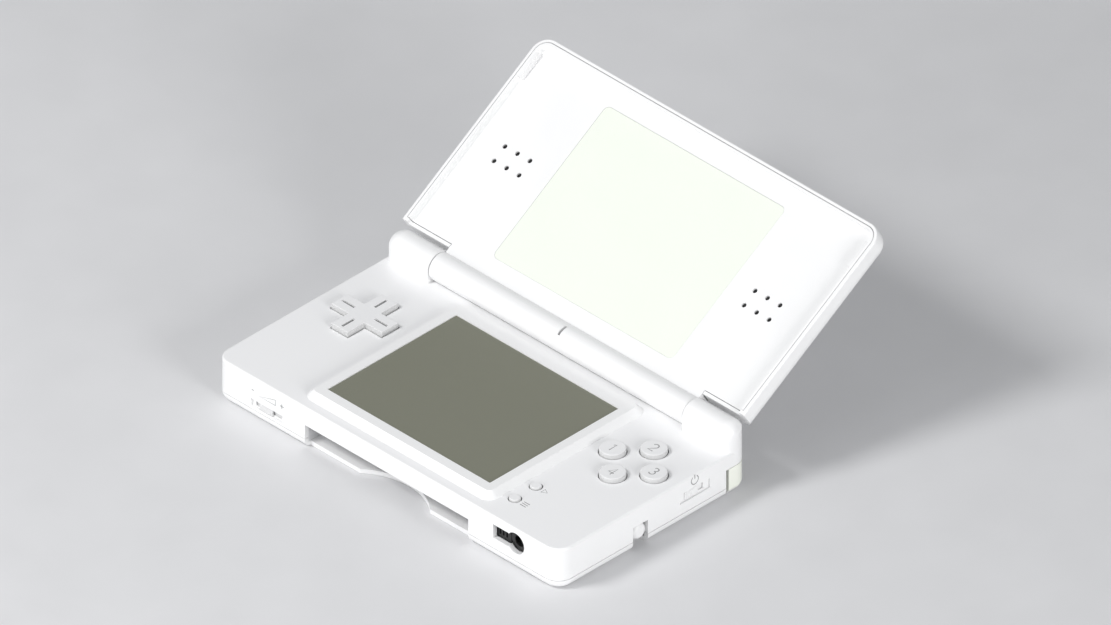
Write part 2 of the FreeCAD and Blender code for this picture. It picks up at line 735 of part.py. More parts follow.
# ---------------------------------------------------------------- pieces that move in the base
def dpad():
    """The cross with a grip line on each arm, and the skirt that holds it under the deck."""
    x, y = DPAD_C
    cap = cross(DPAD_REACH, DPAD_ARM, (DPAD_SKIRT[1][0] + DPAD_ROUND, DPAD_TOP))
    cap = cap.makeFillet(DPAD_ROUND, upright_edges(cap) + edges_at(cap, DPAD_TOP))
    skirt = rod_z(DPAD_SKIRT[0], x, y, DPAD_SKIRT[1])
    hub = rod_z(DPAD_HUB[0], x, y, DPAD_HUB[1])
    whole = fused([cap, skirt, hub])
    near, far, half, deep = DPAD_LINE
    line_z = (DPAD_TOP - deep, FAR)
    for sign in (1, -1):
        ends = sorted((sign * near, sign * far))
        whole = whole.cut(box((x + ends[0], x + ends[1]), (y - half, y + half), line_z))
        whole = whole.cut(box((x - half, x + half), (y + ends[0], y + ends[1]), line_z))
    return whole.cut(Part.makeSphere(DPAD_PIVOT_R + SEAM, V(x, y, DPAD_PIVOT_Z)))


def dpad_pivot():
    """The ball that the direction pad rocks on."""
    return Part.makeSphere(DPAD_PIVOT_R, V(*DPAD_C, DPAD_PIVOT_Z))


def push_button(x, y, radius, top, under):
    """A round key: cap, flange under the deck, and stem down to its rubber pad."""
    cap = rod_z(radius, x, y, (KEY_SKIRT_Z, top))
    cap = cap.makeFillet(KEY_ROUND, edges_at(cap, top))
    flange = rod_z(under[0], x, y, (KEY_SKIRT_Z, DECK_UNDER - SEAM))
    stem = rod_z(under[1], x, y, (KEY_STEM_Z, KEY_SKIRT_Z + SEAM))
    return fused([cap, flange, stem])


def power_slider():
    """The power slider: grip pad in the recess, stem, and catch inside the wall."""
    face = HALF_W - KNOB_SETBACK
    pad_z = (POWER_Z[0] + RUN, POWER_Z[1] - RUN)
    pad = box((HALF_W - POWER_RECESS + FIT, face), POWER_KNOB_Y, pad_z)
    pad = pad.makeFillet(KNOB_ROUND, edges_where(pad, lambda p: p.x > face - FIT))
    ridge_y, ridge_z, pitch = POWER_RIDGE
    ridge = box((face - KNOB_SETBACK, HALF_W - PROUD), ridge_y, ridge_z)
    ridges = [ridge.translated(V(0, i * pitch, 0)) for i in range(3)]
    stem = box((POWER_CATCH[0][1] - SEAM, face - KNOB_SETBACK), POWER_STEM_Y, POWER_STEM_Z)
    return fused([pad, stem, box(*POWER_CATCH)] + ridges)


def volume_slider():
    """The volume slider, with three grip ribs."""
    face = -HALF_D + KNOB_SETBACK
    pad_z = (VOLUME_Z[0] + KNOB_SETBACK, VOLUME_Z[1] - KNOB_SETBACK)
    pad = box(VOLUME_KNOB_X, (face, -HALF_D + VOLUME_RECESS - FIT), pad_z)
    radius, edge, pitch = VOLUME_RIB
    rib_z = (pad_z[0] + KNOB_SETBACK, pad_z[1] - KNOB_SETBACK)
    rib = rod_z(radius, VOLUME_KNOB_X[0] + edge, face + SEAM, rib_z)
    ribs = [rib.translated(V(i * pitch, 0, 0)) for i in range(3)]
    stem = box(VOLUME_STEM_X, (face + KNOB_SETBACK, VOLUME_CATCH[1][0] + SEAM), VOLUME_STEM_Z)
    whole = fused([pad, stem, box(*VOLUME_CATCH)] + ribs)
    return whole.common(box((-HALF_W, 0), (-HALF_D + PROUD, 0), (0, DECK)))


def shoulder_button(side):
    """The corner key: two thin walls, a pivot boss and a rib that works the switch."""
    wall = SHOULDER_WALL
    room = box((SHOULDER_X, HALF_W), (SHOULDER_Y, HALF_D), SHOULDER_Z)
    skin = base_block(0, DECK).common(room)
    inner = box((0, HALF_W - wall), (0, HALF_D - wall), (0, SHOULDER_Z[1] - 1.0))
    skin = skin.cut(inner.common(room))
    boss = rod_z(SHOULDER_BOSS_R, *SHOULDER_PIVOT, (SHOULDER_Z[0] + SEAM, SHOULDER_Z[1]))
    rib_x, rib_y, rib_z = SHOULDER_RIB
    rib = box(rib_x, (rib_y, HALF_D - wall + FIT), (rib_z, SHOULDER_Z[1] - FIT))
    pivot_hole = rod_z(SHOULDER_PIN_R + FIT, *SHOULDER_PIVOT, (0, FAR))
    return sided(fused([skin, boss, rib]).cut(pivot_hole), side)


def stylus():
    """The pen: a straight barrel, a rounded head at the mouth and a thin rounded tip."""
    x0, x1, x2 = STYLUS_X
    taper = (x0 + STYLUS_TAPER[0], x0 + STYLUS_TAPER[1])
    tip = rod_x(STYLUS_TIP_R, (x0, taper[0] + SEAM), STYLUS_Y, STYLUS_Z)
    tip = tip.makeFillet(STYLUS_ROUND[0], edges_where(tip, lambda p: p.x < x0 + FIT))
    start = V(taper[0], STYLUS_Y, STYLUS_Z)
    cone = Part.makeCone(STYLUS_TIP_R, STYLUS_R, taper[1] - taper[0], start, X_AXIS)
    barrel = rod_x(STYLUS_R, (taper[1], x1 + 0.5), STYLUS_Y, STYLUS_Z)
    head = rod_x(STYLUS_HEAD_R, (x1 + SEAM, x2), STYLUS_Y, STYLUS_Z)
    head = head.makeFillet(STYLUS_ROUND[1], edges_where(head, lambda p: p.x > x2 - FIT))
    return fused([tip, cone, barrel, head])


# ---------------------------------------------------------------- the lid, drawn lying flat
def lid_plate(inset, low, high, near):
    """A lid-shaped plate, square at the hinge and rounded at its two far corners."""
    plate = mid_box(LID_HALF - inset, (near, LID_FAR - inset), (low, high))
    far = [e for e in upright_edges(plate) if e.Vertexes[0].Point.y > near + 1]
    return plate.makeFillet(LID_CORNER - inset, far)


def lid_form(inset, low, high, rounding):
    """A lid plate whose far and side edges are rounded underneath."""
    near = LID_NEAR + inset
    plate = lid_plate(inset, low, high, near)
    lower = [e for e in edges_at(plate, low) if max(v.Point.y for v in e.Vertexes) > near + 2]
    return plate.makeFillet(rounding, lower)


def pocket():
    """The room inside the lid's rim: open at the hinge side, rounded at its floor."""
    room = lid_plate(LID_WALL + LID_SEAM + LIP, PANEL, FAR, -LID_NEAR)
    return room.makeFillet(PANEL_ROUND, edges_at(room, PANEL))


def outer_rim_edges(shell):
    """The rim's top edges on its outside."""
    centre_x = LID_HALF - LID_CORNER
    centre_y = LID_FAR - LID_CORNER

    def outside(point):
        away = math.hypot(abs(point.x) - centre_x, point.y - centre_y)
        rounded = point.y > centre_y and abs(point.x) > centre_x
        on_corner = rounded and abs(away - LID_CORNER) < FIT
        on_side = abs(point.x) > LID_HALF - LID_WALL / 2
        return on_side or on_corner or point.y > LID_FAR - LID_WALL / 2

    return edges_where(shell, lambda p: p.z > RIM - FIT and outside(p))


def lid_outer_shell():
    shell = lid_form(0, LID_BACK, RIM, LID_BACK_ROUND)
    tongue_y = (TONGUE_START, LID_NEAR + 2)
    tongue = mid_box(BARREL_X - LID_GAP, tongue_y, (LID_BACK, LID_BACK + TONGUE_THICK))
    hollow = lid_form(LID_WALL, LID_BACK + LID_BACK_WALL, FAR, LID_BACK_ROUND - LID_WALL)
    neck = mid_box(POST_X - SEAM, (0, LID_NEAR + 3), (LID_BACK + TONGUE_THICK, FAR))
    turn = rod_x(BARREL_R + KNOB_SETBACK, (-FAR, FAR), 0, 0)
    shell = cut_all(fused([shell, tongue]), [hollow, neck, turn, pocket()]).removeSplitter()
    return shell.makeFillet(RIM_ROUND, outer_rim_edges(shell))


def mic_slot():
    """The microphone slit across the barrel, in the open position."""
    wide, long, deep = MIC_SLOT
    slit = box((-wide / 2, wide / 2), (BARREL_R - deep, BARREL_R + 1), (-long / 2, long / 2))
    slit.rotate(ORIGIN, X_AXIS, MIC_ANGLE)
    slit.translate(V(0, HINGE_Y, HINGE_Z))
    return slit


def speaker_holes(centre):
    step_x, step_a = SPEAKER_PITCH
    z = (PANEL_UNDER - 1, FAR)
    return [
        rod_z(SPEAKER_HOLE_R, centre + i * step_x, SPEAKER_A + j * step_a, z)
        for i in (-1, 0, 1)
        for j in (-0.5, 0.5)
    ]


def lid_inner_shell():
    """The lid's inner half: panel, inner rim, and the barrel that turns on the hinge."""
    inset = LID_WALL + LID_SEAM
    near = LID_NEAR + inset
    plate = lid_plate(inset, PANEL_UNDER, RIM, near).cut(pocket())
    neck = mid_box(BARREL_X, (0, near + 1), (PANEL_UNDER, PANEL))
    web = mid_box(BARREL_X, (0, LID_NEAR - LID_GAP), (WEB_LOW, PANEL))
    barrel = rod_x(BARREL_R, (-BARREL_X, BARREL_X), 0, 0)
    seat = slab(LENS_X, LENS_A, (PANEL - LENS_THICK, FAR), LENS_CORNER)
    window_x = (LENS_X[0] + LENS_LEDGE, LENS_X[1] - LENS_LEDGE)
    window_a = (LENS_A[0] + LENS_LEDGE, LENS_A[1] - LENS_LEDGE)
    cavity_x = CLUTCH_X[0] - 0.5
    cutters = [
        seat,
        slab(window_x, window_a, (-1, FAR), 1.0),
        rod_x(HINGE_CAVITY_R, (cavity_x, FAR), 0, 0),
        rod_x(HINGE_CAVITY_R, (-FAR, -cavity_x), 0, 0),
        microphone(),
    ]
    holes = speaker_holes(SPEAKER_RIGHT_X) + speaker_holes(SPEAKER_LEFT_X)
    shell = cut_all(fused([plate, neck, web, barrel]), cutters + holes)
    return opened(shell.removeSplitter()).cut(mic_slot())


def upper_lens():
    """The clear cover in the panel, level with it."""
    x = (LENS_X[0] + FIT, LENS_X[1] - FIT)
    a = (LENS_A[0] + FIT, LENS_A[1] - FIT)
    lens = slab(x, a, (PANEL - LENS_THICK, PANEL), LENS_CORNER - FIT)
    return lens.makeChamfer(LENS_CHAMFER, edges_at(lens, PANEL))


def upper_lcd():
    return box(UPPER_LCD_X, UPPER_LCD_A, UPPER_LCD_B)


def upper_lcd_frame():
    wall = LCD_FRAME_WALL
    x = (UPPER_LCD_X[0] - wall, UPPER_LCD_X[1] + wall)
    y = (UPPER_LCD_A[0] - wall, UPPER_LCD_A[1] + wall)
    tray = box(x, y, (UPPER_FRAME_LOW, UPPER_LCD_B[1]))
    return tray.cut(box(UPPER_LCD_X, UPPER_LCD_A, (UPPER_LCD_B[0], FAR)))


def speaker(x):
    """A flat speaker with a raised foam ring around its cone."""
    back, cone = SPEAKER_B
    body = rod_z(SPEAKER_R, x, SPEAKER_A, (back, PANEL_UNDER))
    return body.cut(rod_z(SPEAKER_CONE_R, x, SPEAKER_A, (cone, FAR)))


def lid_stop(side):
    """A soft pad on the panel that meets the deck when the lid is shut."""
    pad = box(STOP_X, STOP_A, (PANEL, RIM)).common(pocket())
    return sided(pad, side)


def hinge_clutch():
    """The friction cartridge in the barrel's right end, around the steel shaft."""
    case = rod_x(CLUTCH_R, CLUTCH_X, 0, 0)
    return case.cut(rod_x(SHAFT_R + FIT, (0, FAR), 0, 0))


def hinge_bush():
    """The plain bush in the barrel's left end, around the hollow sleeve."""
    case = rod_x(CLUTCH_R, (-CLUTCH_X[1], -CLUTCH_X[0]), 0, 0)
    return case.cut(rod_x(SLEEVE_R + FIT, (-FAR, 0), 0, 0))


def microphone():
    """The capsule behind the slit, held in a pocket of the barrel."""
    return rod_x(MIC_R, (-MIC_X, MIC_X), 0, 0)


# ---------------------------------------------------------------- write every piece
def base_pieces():
    pieces = {
        "upper_case": upper_case(),
        "lower_case": lower_case(),
        "battery_cover": battery_cover(),
        "battery_cover_screw": screw(*COVER_SCREW, SCREW_HEAD_Z[1] - SEAM),
        "battery_pack": battery_pack(),
        "main_board": main_board(),
        "touch_panel": touch_panel(),
        "lower_lcd": lower_lcd(),
        "lower_lcd_frame": lower_lcd_frame(),
        "game_card_reader": game_card_reader(),
        "cartridge_guide": cartridge_guide(),
        "cartridge_connector": cartridge_connector(),
        "headphone_jack": headphone_jack(),
        "accessory_port": accessory_port(),
        "charge_socket": charge_socket(),
        "power_switch": power_switch(),
        "volume_switch": volume_switch(),
        "dpad_membrane": dpad_membrane(),
        "button_membrane": button_membrane(),
        "menu_membrane": menu_membrane(),
        "stylus_sleeve": stylus_sleeve(),
        "hinge_shaft": hinge_shaft(),
        "hinge_sleeve": hinge_sleeve(),
    }
    for i, (x, y) in enumerate(FOOT_PLACES):
        pieces["rubber_foot_%d" % (i + 1)] = rubber_foot(x, y)
    for i, (x, y) in enumerate(SCREW_PLACES):
        pieces["case_screw_%d" % (i + 1)] = screw(x, y, SCREW_HEAD_Z[1])
    for name, side in (("right", 1), ("left", -1)):
        pieces["shoulder_switch_" + name] = shoulder_switch(side)
        pieces["shoulder_pin_" + name] = shoulder_pin(side)
    return pieces


def key_pieces():
    pieces = {
        "dpad": dpad(),
        "dpad_pivot": dpad_pivot(),
        "power_slider": power_slider(),
        "volume_slider": volume_slider(),
        "stylus": stylus(),
        "shoulder_button_right": shoulder_button(1),
        "shoulder_button_left": shoulder_button(-1),
    }
    for i, (x, y) in enumerate(button_places()):
        pieces["round_button_%d" % (i + 1)] = push_button(x, y, BUTTON_R, BUTTON_TOP, BUTTON_UNDER)
    for i, (x, y) in enumerate(MENU_BUTTONS):
        pieces["menu_button_%d" % (i + 1)] = push_button(x, y, MENU_R, MENU_TOP, MENU_UNDER)
    return pieces


def lid_pieces():
    flat = {
        "lid_outer_shell": lid_outer_shell(),
        "upper_lens": upper_lens(),
        "upper_lcd": upper_lcd(),
        "upper_lcd_frame": upper_lcd_frame(),
        "speaker_right": speaker(SPEAKER_RIGHT_X),
        "speaker_left": speaker(SPEAKER_LEFT_X),
        "lid_stop_right": lid_stop(1),
        "lid_stop_left": lid_stop(-1),
        "hinge_clutch": hinge_clutch(),
        "hinge_bush": hinge_bush(),
        "microphone": microphone(),
    }
    pieces = {name: opened(shape) for name, shape in flat.items()}
    pieces["lid_inner_shell"] = lid_inner_shell()
    return pieces


def main():
    os.makedirs("parts", exist_ok=True)
    for pieces in (base_pieces(), key_pieces(), lid_pieces()):
        for name, shape in pieces.items():
            save(name, shape)


main()
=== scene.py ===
import json
import math

import bpy
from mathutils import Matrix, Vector


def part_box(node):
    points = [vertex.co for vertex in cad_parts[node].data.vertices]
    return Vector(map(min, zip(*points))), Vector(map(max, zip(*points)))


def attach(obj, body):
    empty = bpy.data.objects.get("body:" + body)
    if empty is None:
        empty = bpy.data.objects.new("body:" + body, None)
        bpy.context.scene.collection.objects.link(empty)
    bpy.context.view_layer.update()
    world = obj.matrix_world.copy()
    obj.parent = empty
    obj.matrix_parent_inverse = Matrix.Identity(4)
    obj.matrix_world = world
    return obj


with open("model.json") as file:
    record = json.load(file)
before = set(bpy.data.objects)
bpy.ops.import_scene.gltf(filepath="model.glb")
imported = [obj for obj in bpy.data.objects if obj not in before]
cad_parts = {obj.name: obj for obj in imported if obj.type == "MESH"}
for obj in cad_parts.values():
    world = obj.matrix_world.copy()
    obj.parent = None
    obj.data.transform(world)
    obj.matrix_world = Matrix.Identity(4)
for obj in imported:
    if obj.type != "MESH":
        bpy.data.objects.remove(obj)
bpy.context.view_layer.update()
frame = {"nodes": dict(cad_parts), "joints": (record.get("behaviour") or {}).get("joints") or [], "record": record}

# ---------------------------------------------------------------- sizes, in metres
MM = 0.001
MARK_FLATTEN = 0.12          # how far a drawn mark's round section is pressed flat, for ink and for the painted groove shade
DECK_HEIGHT = 13.6 * MM
DECK_MARGIN = 0.1 * MM       # a surface this near the deck's height counts as deck
LID_TILT = math.radians(32.6)

nodes = frame["nodes"]
joints = {joint["name"]: joint for joint in frame["joints"]}
HINGE = Vector(joints["lid_hinge"]["pos_m"])
ALONG_LID = Vector((0, math.cos(LID_TILT), math.sin(LID_TILT)))
OUT_OF_LID = Vector((0, -math.sin(LID_TILT), math.cos(LID_TILT)))

X = Vector((1, 0, 0))
Y = Vector((0, 1, 0))
Z = Vector((0, 0, 1))


def corners(node):
    """A node's low and high corners at rest."""
    low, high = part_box(node)
    return Vector(low), Vector(high)


def middle(node):
    low, high = corners(node)
    return (low + high) / 2


def lid_point(x, along, out):
    """A point given by its place on the open lid, in metres."""
    return HINGE + X * x + ALONG_LID * along + OUT_OF_LID * out


# ---------------------------------------------------------------- camera, floor and light
VIEW_CENTRE = Vector((0.0142, 0.0142, 0.0427))
VIEW_WIDTH = 0.3038
VIEW_DISTANCE = 1.2
LIGHT_DISTANCE = 1.3
# name, direction it shines from, size in metres, power in watts
STUDIO_LIGHTS = (
    ("key", (-0.32, -0.62, 0.72), 0.35, 8.7),
    ("front", (-0.1, -1.0, 0.2), 0.6, 5.0),
    ("right", (1.0, -0.15, 0.3), 0.5, 8.5),
)
SKY_COLOUR = (0.95, 0.97, 1.0, 1)
SKY_STRENGTH = 0.33
FLOOR_HALF = 3.0
FLOOR_DROP = 0.1 * MM        # the floor lies this far under the object, so that no faces coincide


def add_camera():
    """A parallel camera that looks down the cube diagonal, as an isometric drawing does."""
    data = bpy.data.cameras.new("view")
    data.type = "ORTHO"
    data.ortho_scale = VIEW_WIDTH
    data.clip_start = 0.01
    data.clip_end = 10
    camera = bpy.data.objects.new("view", data)
    back = Vector((1, -1, 1)).normalized()
    camera.location = VIEW_CENTRE + back * VIEW_DISTANCE
    camera.rotation_mode = "QUATERNION"
    camera.rotation_quaternion = (-back).to_track_quat("-Z", "Y")
    bpy.context.scene.collection.objects.link(camera)
    bpy.context.scene.camera = camera


def add_area_light(name, direction, distance, size, power):
    """A square soft light that faces the object from one direction."""
    data = bpy.data.lights.new(name, "AREA")
    data.size = size
    data.energy = power
    light = bpy.data.objects.new(name, data)
    towards = Vector(direction).normalized()
    light.location = VIEW_CENTRE + towards * distance
    light.rotation_mode = "QUATERNION"
    light.rotation_quaternion = (-towards).to_track_quat("-Z", "Y")
    bpy.context.scene.collection.objects.link(light)


def add_lights():
    for name, direction, size, power in STUDIO_LIGHTS:
        add_area_light(name, direction, LIGHT_DISTANCE, size, power)
    world = bpy.data.worlds.new("studio")
    bpy.context.scene.world = world
    world.use_nodes = True
    background = world.node_tree.nodes["Background"]
    background.inputs["Color"].default_value = SKY_COLOUR
    background.inputs["Strength"].default_value = SKY_STRENGTH
    bpy.context.scene.view_settings.view_transform = "Standard"


def add_floor():
    mesh = bpy.data.meshes.new("floor")
    half = FLOOR_HALF
    floor_corners = [(-half, -half, 0), (half, -half, 0), (half, half, 0), (-half, half, 0)]
    mesh.from_pydata(floor_corners, [], [(0, 1, 2, 3)])
    floor = bpy.data.objects.new("floor", mesh)
    floor.location.z = -FLOOR_DROP
    bpy.context.scene.collection.objects.link(floor)
    mesh.materials.append(moulded("floor_paint", (0.74, 0.74, 0.75), 0.6, grain=120, bump=0.0))


# ---------------------------------------------------------------- materials
NOISE_SPAN = (0.3, 0.7)      # the part of its 0 to 1 range that a noise really uses
GRAIN_DEPTH = 0.02 * MM      # depths of surface detail
FILM_DEPTH = 0.01 * MM
TRACK_DEPTH = 0.03 * MM
WEAVE_DEPTH = 0.04 * MM
PICTURE_CELL = 0.245 * MM    # spacing of the displays' cells
LEVEL_NORMAL = 0.98          # a surface whose normal points up this much counts as level
KEY_SHOULDER = (0.55, 0.97)  # where the painted shade on a key's sides gives way to its top colour


def new_material(name):
    """A new node material, its node tree and its Principled shader."""
    material = bpy.data.materials.new(name)
    material.use_nodes = True
    tree = material.node_tree
    shader = tree.nodes["Principled BSDF"]
    return material, tree, shader


def object_noise(tree, scale, detail=3.0):
    """Noise fixed to the object; scale is in cells per metre."""
    place = tree.nodes.new("ShaderNodeTexCoord")
    noise = tree.nodes.new("ShaderNodeTexNoise")
    noise.inputs["Scale"].default_value = scale
    noise.inputs["Detail"].default_value = detail
    tree.links.new(place.outputs["Object"], noise.inputs["Vector"])
    return noise


def ramp(tree, source, low, high, start=NOISE_SPAN[0], end=NOISE_SPAN[1]):
    """Turn a 0 to 1 value into a colour between two colours."""
    blend = tree.nodes.new("ShaderNodeValToRGB")
    blend.color_ramp.elements[0].position = start
    blend.color_ramp.elements[1].position = end
    blend.color_ramp.elements[0].color = (*low, 1)
    blend.color_ramp.elements[1].color = (*high, 1)
    tree.links.new(source, blend.inputs["Fac"])
    return blend.outputs["Color"]


def spread(tree, source, low, high):
    """Turn a 0 to 1 value into a number between two limits."""
    span = tree.nodes.new("ShaderNodeMapRange")
    span.inputs["From Min"].default_value = NOISE_SPAN[0]
    span.inputs["From Max"].default_value = NOISE_SPAN[1]
    span.inputs["To Min"].default_value = low
    span.inputs["To Max"].default_value = high
    tree.links.new(source, span.inputs["Value"])
    return span.outputs["Result"]


def add_bump(tree, shader, source, strength, depth):
    bump = tree.nodes.new("ShaderNodeBump")
    bump.inputs["Strength"].default_value = strength
    bump.inputs["Distance"].default_value = depth
    tree.links.new(source, bump.inputs["Height"])
    tree.links.new(bump.outputs["Normal"], shader.inputs["Normal"])


def tinted(colour, factor):
    return tuple(min(1.0, part * factor) for part in colour)


def moulded(name, colour, rough, grain=3500, bump=0.15, coat=0.0, mottle=0.012):
    """Moulded plastic: a fine surface grain, faint colour drift and uneven gloss."""
    material, tree, shader = new_material(name)
    drift = object_noise(tree, 45)
    fine = object_noise(tree, grain, 2.0)
    tree.links.new(
        ramp(tree, drift.outputs["Fac"], tinted(colour, 1 - mottle), tinted(colour, 1 + mottle)),
        shader.inputs["Base Color"],
    )
    gloss = spread(tree, drift.outputs["Fac"], rough * 0.9, rough * 1.12)
    tree.links.new(gloss, shader.inputs["Roughness"])
    shader.inputs["IOR"].default_value = 1.49
    shader.inputs["Coat Weight"].default_value = coat
    shader.inputs["Coat Roughness"].default_value = 0.06
    if bump:
        add_bump(tree, shader, fine.outputs["Fac"], bump, GRAIN_DEPTH)
    return material


def case_paint(name, colour, deck_painted_light_colour):
    """The case's gloss white, painted a little lighter on the level control deck: painted light that makes up for
    the weaker key light on level faces.
    """
    material = moulded(name, colour, 0.32, coat=0.25)
    tree = material.node_tree
    shader = tree.nodes["Principled BSDF"]
    place = tree.nodes.new("ShaderNodeTexCoord")
    parts = tree.nodes.new("ShaderNodeSeparateXYZ")
    facing = tree.nodes.new("ShaderNodeSeparateXYZ")
    tree.links.new(place.outputs["Object"], parts.inputs["Vector"])
    tree.links.new(place.outputs["Normal"], facing.inputs["Vector"])
    level = tree.nodes.new("ShaderNodeMath")
    level.operation = "COMPARE"
    level.inputs[1].default_value = DECK_HEIGHT
    level.inputs[2].default_value = DECK_MARGIN
    tree.links.new(parts.outputs["Z"], level.inputs[0])
    upward = tree.nodes.new("ShaderNodeMath")
    upward.operation = "GREATER_THAN"
    upward.inputs[1].default_value = LEVEL_NORMAL
    tree.links.new(facing.outputs["Z"], upward.inputs[0])
    on_deck = tree.nodes.new("ShaderNodeMath")
    on_deck.operation = "MULTIPLY"
    tree.links.new(level.outputs["Value"], on_deck.inputs[0])
    tree.links.new(upward.outputs["Value"], on_deck.inputs[1])
    paint = tree.nodes.new("ShaderNodeMix")
    paint.data_type = "RGBA"
    paint.inputs["B"].default_value = (*deck_painted_light_colour, 1)
    case_link = shader.inputs["Base Color"].links[0]
    tree.links.new(case_link.from_socket, paint.inputs["A"])
    tree.links.new(on_deck.outputs["Value"], paint.inputs["Factor"])
    tree.links.new(paint.outputs["Result"], shader.inputs["Base Color"])
    return material


def key_paint(name, colour, side_painted_shade):
    """Satin key plastic: level tops take one colour, and the sides a greyer one, which is painted shade."""
    material = moulded(name, colour, 0.42, bump=0.1)
    tree = material.node_tree
    shader = tree.nodes["Principled BSDF"]
    place = tree.nodes.new("ShaderNodeTexCoord")
    facing = tree.nodes.new("ShaderNodeSeparateXYZ")
    tree.links.new(place.outputs["Normal"], facing.inputs["Vector"])
    level = tree.nodes.new("ShaderNodeMapRange")
    level.inputs["From Min"].default_value = KEY_SHOULDER[0]
    level.inputs["From Max"].default_value = KEY_SHOULDER[1]
    tree.links.new(facing.outputs["Z"], level.inputs["Value"])
    paint = tree.nodes.new("ShaderNodeMix")
    paint.data_type = "RGBA"
    paint.inputs["A"].default_value = (*side_painted_shade, 1)
    top_link = shader.inputs["Base Color"].links[0]
    tree.links.new(top_link.from_socket, paint.inputs["B"])
    tree.links.new(level.outputs["Result"], paint.inputs["Factor"])
    tree.links.new(paint.outputs["Result"], shader.inputs["Base Color"])
    return material


def rubbery(name, colour):
    material = moulded(name, colour, 0.78, grain=2500, bump=0.35, mottle=0.04)
    shader = material.node_tree.nodes["Principled BSDF"]
    shader.inputs["Sheen Weight"].default_value = 0.15
    shader.inputs["Sheen Roughness"].default_value = 0.5
    return material


def ink_and_groove_shade(name, colour):
    """Matt ink, used for print and for the painted shade in the direction pad's grooves."""
    return moulded(name, colour, 0.6, grain=9000, bump=0.1, mottle=0.05)


def metal(name, colour, rough):
    """Turned or pressed metal with fine drawn lines."""
    material, tree, shader = new_material(name)
    place = tree.nodes.new("ShaderNodeTexCoord")
    stretch = tree.nodes.new("ShaderNodeMapping")
    stretch.inputs["Scale"].default_value = (300, 9000, 9000)
    lines = tree.nodes.new("ShaderNodeTexNoise")
    lines.inputs["Scale"].default_value = 1.0
    lines.inputs["Detail"].default_value = 2.0
    tree.links.new(place.outputs["Object"], stretch.inputs["Vector"])
    tree.links.new(stretch.outputs["Vector"], lines.inputs["Vector"])
    tree.links.new(
        ramp(tree, lines.outputs["Fac"], tinted(colour, 0.86), tinted(colour, 1.08)),
        shader.inputs["Base Color"],
    )
    gloss = spread(tree, lines.outputs["Fac"], rough * 0.8, rough * 1.3)
    tree.links.new(gloss, shader.inputs["Roughness"])
    shader.inputs["Metallic"].default_value = 1.0
    add_bump(tree, shader, lines.outputs["Fac"], 0.2, FILM_DEPTH)
    return material


def screen_film(name, colour, gap_colour, rough, coat):
    """A display under its cover: rows of picture cells, with dark gaps as fine as the real ones."""
    material, tree, shader = new_material(name)
    place = tree.nodes.new("ShaderNodeTexCoord")
    cells = tree.nodes.new("ShaderNodeTexBrick")
    cells.offset = 0.0
    cells.inputs["Scale"].default_value = 1.0
    cells.inputs["Brick Width"].default_value = PICTURE_CELL
    cells.inputs["Row Height"].default_value = PICTURE_CELL
    cells.inputs["Mortar Size"].default_value = PICTURE_CELL * 0.08
    cells.inputs["Mortar Smooth"].default_value = 0.4
    cells.inputs["Color1"].default_value = (*colour, 1)
    cells.inputs["Color2"].default_value = (*tinted(colour, 0.985), 1)
    cells.inputs["Mortar"].default_value = (*gap_colour, 1)
    tree.links.new(place.outputs["Object"], cells.inputs["Vector"])
    tree.links.new(cells.outputs["Color"], shader.inputs["Base Color"])
    haze = object_noise(tree, 60)
    gloss = spread(tree, haze.outputs["Fac"], rough * 0.85, rough * 1.2)
    tree.links.new(gloss, shader.inputs["Roughness"])
    shader.inputs["Coat Weight"].default_value = coat
    shader.inputs["Coat Roughness"].default_value = 0.12
    fine = object_noise(tree, 6000, 1.0)
    add_bump(tree, shader, fine.outputs["Fac"], 0.05, FILM_DEPTH)
    return material


def dark_glass(name):
    material, tree, shader = new_material(name)
    haze = object_noise(tree, 80)
    tree.links.new(
        ramp(tree, haze.outputs["Fac"], (0.02, 0.022, 0.02), (0.028, 0.03, 0.028)),
        shader.inputs["Base Color"],
    )
    shader.inputs["Roughness"].default_value = 0.08
    return material


def circuit_board(name):
    """Green solder mask with copper lines that show through faintly."""
    material, tree, shader = new_material(name)
    place = tree.nodes.new("ShaderNodeTexCoord")
    tracks = tree.nodes.new("ShaderNodeTexVoronoi")
    tracks.feature = "DISTANCE_TO_EDGE"
    tracks.inputs["Scale"].default_value = 260
    tree.links.new(place.outputs["Object"], tracks.inputs["Vector"])
    tree.links.new(
        ramp(tree, tracks.outputs["Distance"], (0.06, 0.24, 0.08), (0.015, 0.10, 0.035), 0.02, 0.06),
        shader.inputs["Base Color"],
    )
    shader.inputs["Roughness"].default_value = 0.35
    add_bump(tree, shader, tracks.outputs["Distance"], 0.2, TRACK_DEPTH)
    return material


def woven_mesh(name):
    """The black cloth behind the speaker holes."""
    material, tree, shader = new_material(name)
    place = tree.nodes.new("ShaderNodeTexCoord")
    weave = tree.nodes.new("ShaderNodeTexWave")
    weave.inputs["Scale"].default_value = 1500
    weave.inputs["Distortion"].default_value = 2.0
    tree.links.new(place.outputs["Object"], weave.inputs["Vector"])
    tree.links.new(
        ramp(tree, weave.outputs["Fac"], (0.006, 0.006, 0.006), (0.022, 0.022, 0.022)),
        shader.inputs["Base Color"],
    )
    shader.inputs["Roughness"].default_value = 0.9
    add_bump(tree, shader, weave.outputs["Fac"], 0.5, WEAVE_DEPTH)
    return material


